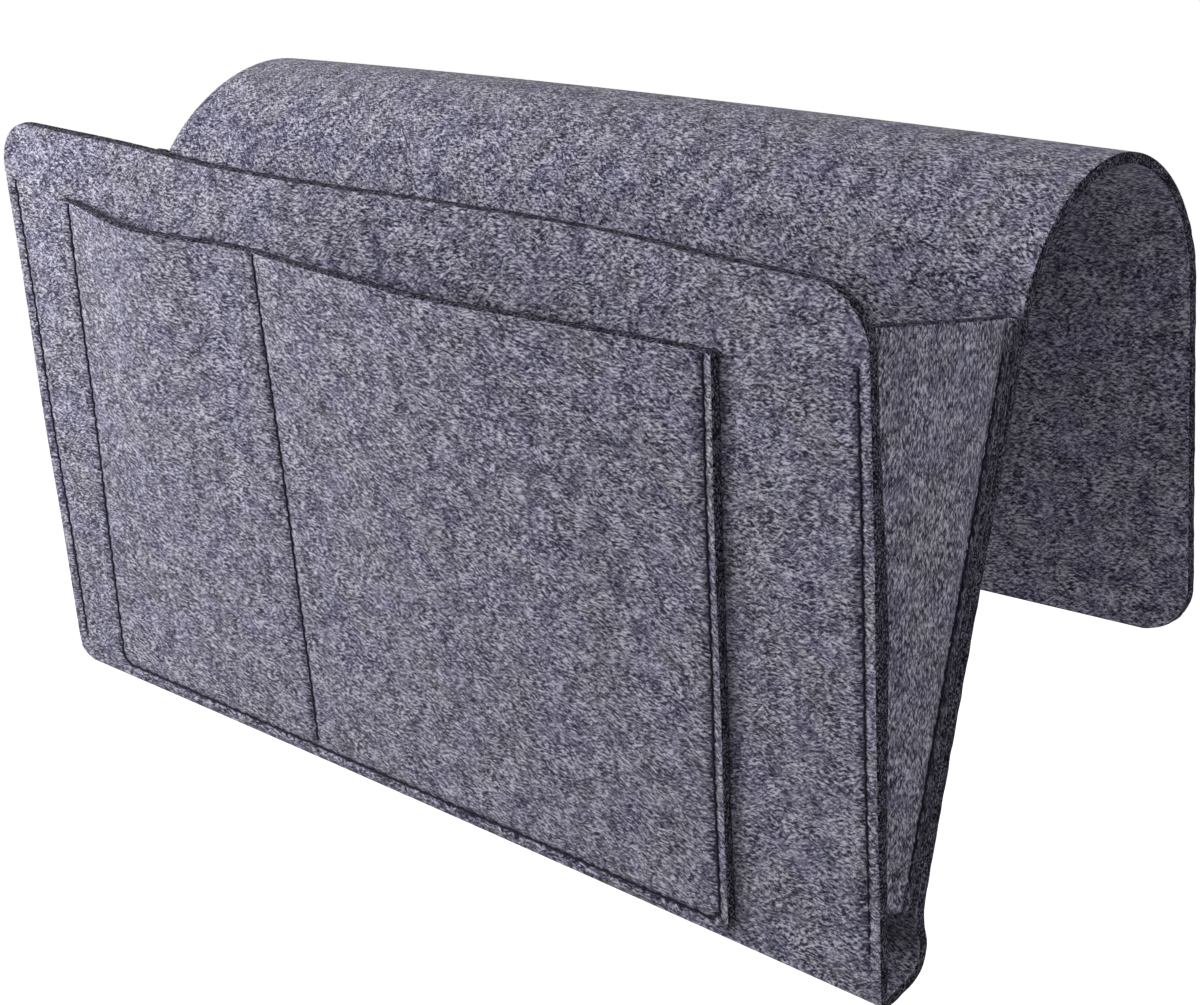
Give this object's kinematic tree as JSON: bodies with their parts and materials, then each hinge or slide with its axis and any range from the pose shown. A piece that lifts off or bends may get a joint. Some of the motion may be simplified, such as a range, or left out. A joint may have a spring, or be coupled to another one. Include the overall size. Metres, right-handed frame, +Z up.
{
  "type": "felt bedside caddy",
  "caption": "Felt caddy that hangs over the edge of a bed by an arched flap, with a V-shaped main compartment between sewn side gussets and a divided patch pocket on its front.",
  "frame": {"origin": "middle of the underside of the arch at its crown, where the caddy rests on what it hangs over", "axes": "+X along the caddy's width, to the right seen from the front; +Y from the front panel towards the bed; +Z up"},
  "size_m": [0.3257, 0.1566, 0.1911],
  "materials": {
    "felt": "matt melange grey felt",
    "thread": "dark navy sewing thread"
  },
  "bodies": {
    "hanger": {"base_strip": "felt", "back_panel": "felt", "saddle_arch": "felt", "gusset_left": "felt", "gusset_right": "felt", "back_seam_left_needle_thread": "thread", "back_seam_left_bobbin_thread": "thread", "back_seam_right_needle_thread": "thread", "back_seam_right_bobbin_thread": "thread"},
    "front": {"front_panel": "felt", "front_pocket": "felt", "front_seam_left_needle_thread": "thread", "front_seam_left_bobbin_thread": "thread", "front_seam_right_needle_thread": "thread", "front_seam_right_bobbin_thread": "thread", "pocket_edge_needle_thread": "thread", "pocket_edge_bobbin_thread": "thread", "pocket_divider_needle_thread": "thread", "pocket_divider_bobbin_thread": "thread"},
    "tail": {"tail_flap": "felt"}
  },
  "joints": [
    {"name": "mouth_fold", "type": "hinge", "parent": "hanger", "child": "front", "pos_m": [0, -0.08105, -0.18323], "axis": [1, 0, 0], "range_deg": [-15, 0], "deforming": ["gusset_left", "gusset_right"]},
    {"name": "tail_fold", "type": "hinge", "parent": "hanger", "child": "tail", "pos_m": [0, 0, 0.0015], "axis": [0.9998, 0.0048, 0.0213], "range_deg": [-30, 90], "stiffness_Nm_per_rad": 0.1, "springref_deg": 6.49, "deforming": ["saddle_arch"]}
  ]
}
